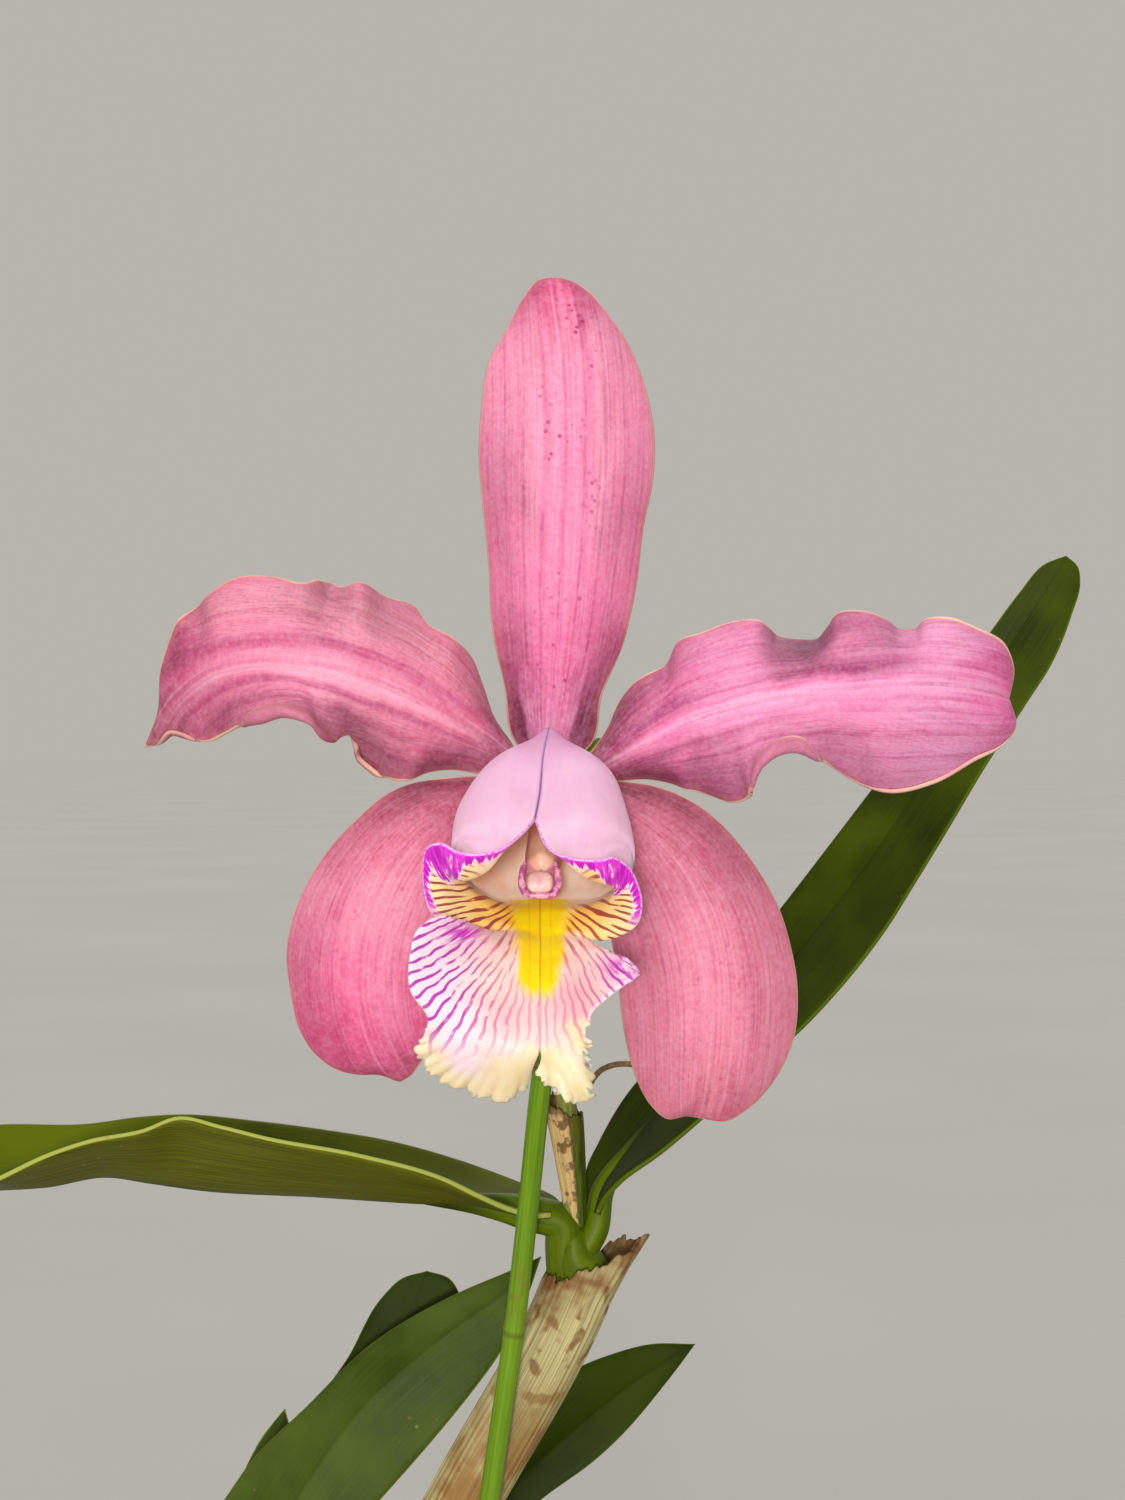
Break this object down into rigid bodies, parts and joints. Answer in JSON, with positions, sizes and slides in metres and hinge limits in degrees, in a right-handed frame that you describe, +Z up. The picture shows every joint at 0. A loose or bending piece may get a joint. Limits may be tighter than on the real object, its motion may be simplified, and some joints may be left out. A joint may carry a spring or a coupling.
{
  "type": "potted cattleya orchid",
  "caption": "Potted cattleya orchid in flower: spreading sepals and waved petals round a frilled lip, strap leaves, staked stem, clay pot of bark.",
  "frame": {"origin": "centre of the pot's flat underside, at the level of the surface that it stands on", "axes": "+Z up, -Y towards the side that the flower faces, +X to the right seen from that side"},
  "size_m": [0.2193, 0.1275, 0.3366],
  "materials": {
    "terracotta": "matte unglazed clay",
    "bark": "rough bark",
    "root": "matte",
    "pseudobulb": "satin plant tissue",
    "dry_sheath": "dry and papery",
    "leaf": "leathery satin plant tissue",
    "spathe": "dry and papery",
    "stem": "satin plant tissue",
    "column": "satin plant tissue",
    "anther": "satin plant tissue",
    "lip": "velvety plant tissue",
    "sepal": "velvety plant tissue",
    "petal": "velvety plant tissue",
    "cane": "green painted bamboo",
    "wire": "brown coated wire"
  },
  "bodies": {
    "root": {"pot": "terracotta", "potting_bark": "bark", "rhizome": "root", "pseudobulb_flowering": "pseudobulb", "pseudobulb_left": "pseudobulb", "pseudobulb_right": "pseudobulb", "pseudobulb_small": "pseudobulb", "pseudobulb_flowering_sheath": "dry_sheath", "pseudobulb_left_sheath": "dry_sheath", "pseudobulb_right_sheath": "dry_sheath", "pseudobulb_small_sheath": "dry_sheath", "leaf_right": "leaf", "leaf_left": "leaf", "leaf_low_left": "leaf", "leaf_low_behind": "leaf", "leaf_low_right": "leaf", "leaf_small": "leaf", "spathe": "spathe", "flower_stem": "stem", "column": "column", "anther_cap": "anther", "lip": "lip", "dorsal_sepal": "sepal", "lateral_sepal_left": "sepal", "lateral_sepal_right": "sepal", "petal_left": "petal", "petal_right": "petal", "stake": "cane", "tie": "wire"}
  },
  "joints": []
}
